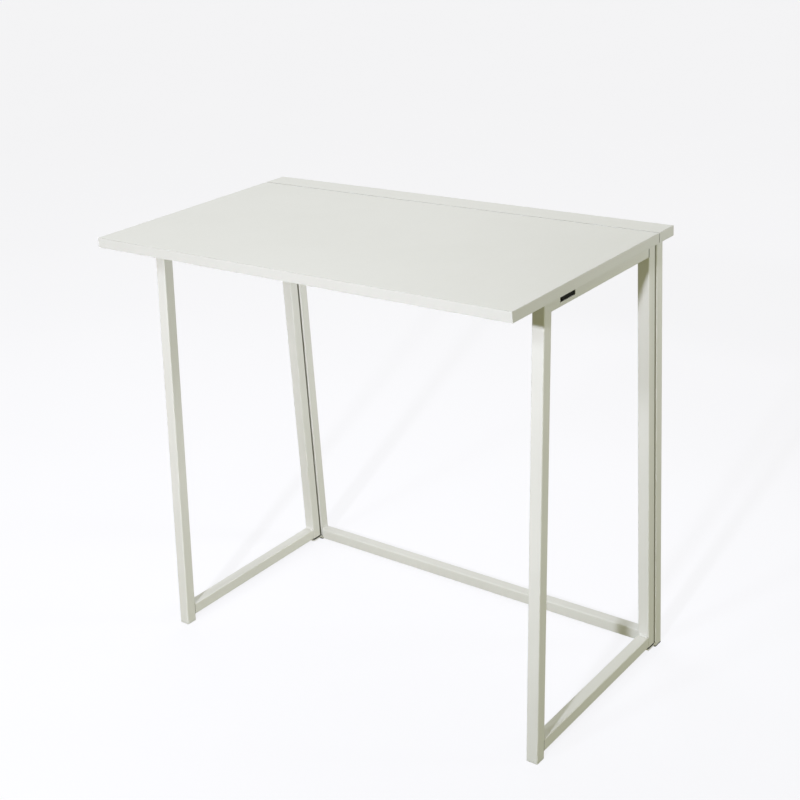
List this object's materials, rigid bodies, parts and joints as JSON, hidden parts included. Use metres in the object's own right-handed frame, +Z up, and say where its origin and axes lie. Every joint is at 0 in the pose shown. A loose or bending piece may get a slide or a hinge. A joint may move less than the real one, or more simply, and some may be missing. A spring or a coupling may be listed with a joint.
{
  "type": "gateleg table",
  "caption": "Small folding desk with a steel rear frame, side gates that swing inwards, and a white board top whose front leaf is hinged to a fixed rear strip.",
  "frame": {"origin": "on the floor under the middle of the top, at the centre of the bounding box's base", "axes": "+X to the right along the width of the top, +Y from the open front towards the hinged back strip, +Z up"},
  "size_m": [0.8, 0.45, 0.74],
  "materials": {
    "frame_paint": "off-white satin powder coat with a fine orange peel",
    "board_face": "white melamine-faced particle board, matt, with a very faint grain",
    "edge_band": "white edge band, satin",
    "white_plastic": "moulded off-white plastic",
    "black_plastic": "moulded black nylon",
    "bumper_rubber": "matt black rubber",
    "zinc_steel": "bright zinc-plated steel"
  },
  "bodies": {
    "rear_frame": {"rear_post_left": "frame_paint", "rear_post_right": "frame_paint", "rear_top_rail": "frame_paint", "rear_bottom_rail": "frame_paint", "pivot_plate_top_left": "frame_paint", "pivot_plate_top_right": "frame_paint", "pivot_plate_bottom_left": "frame_paint", "pivot_plate_bottom_right": "frame_paint", "pivot_pin_top_left": "zinc_steel", "pivot_pin_top_right": "zinc_steel", "pivot_pin_bottom_left": "zinc_steel", "pivot_pin_bottom_right": "zinc_steel", "rear_foot_left": "black_plastic", "rear_foot_right": "black_plastic", "strip_panel": "board_face", "strip_edging": "edge_band", "strip_screws": "zinc_steel", "hinge_fixed_left": "zinc_steel", "hinge_fixed_right": "zinc_steel", "hinge_pin_left": "zinc_steel", "hinge_pin_right": "zinc_steel", "hinge_screws_strip": "zinc_steel"},
    "gate_left": {"gate_post_left": "frame_paint", "gate_leg_left": "frame_paint", "gate_top_rail_left": "frame_paint", "gate_bottom_rail_left": "frame_paint", "gate_foot_left": "white_plastic", "gate_leg_cap_left": "white_plastic", "gate_bush_top_left": "black_plastic", "gate_bush_bottom_left": "black_plastic"},
    "gate_right": {"gate_post_right": "frame_paint", "gate_leg_right": "frame_paint", "gate_top_rail_right": "frame_paint", "gate_bottom_rail_right": "frame_paint", "gate_foot_right": "white_plastic", "gate_leg_cap_right": "white_plastic", "gate_bush_top_right": "black_plastic", "gate_bush_bottom_right": "black_plastic"},
    "leaf": {"leaf_panel": "board_face", "leaf_edging": "edge_band", "hinge_moving_left": "zinc_steel", "hinge_moving_right": "zinc_steel", "hinge_screws_leaf": "zinc_steel", "catch_left": "black_plastic", "catch_right": "black_plastic", "catch_screws": "zinc_steel", "leaf_bumpers": "bumper_rubber"}
  },
  "joints": [
    {"name": "gate_left_fold", "type": "hinge", "parent": "rear_frame", "child": "gate_left", "pos_m": [-0.373, 0.188, 0.3], "axis": [0, 0, 1], "range_deg": [0, 90]},
    {"name": "gate_right_fold", "type": "hinge", "parent": "rear_frame", "child": "gate_right", "pos_m": [0.373, 0.188, 0.3], "axis": [0, 0, -1], "range_deg": [0, 90]},
    {"name": "leaf_lift", "type": "hinge", "parent": "rear_frame", "child": "leaf", "pos_m": [0, 0.179, 0.7225], "axis": [-1, 0, 0], "range_deg": [0, 4]}
  ]
}
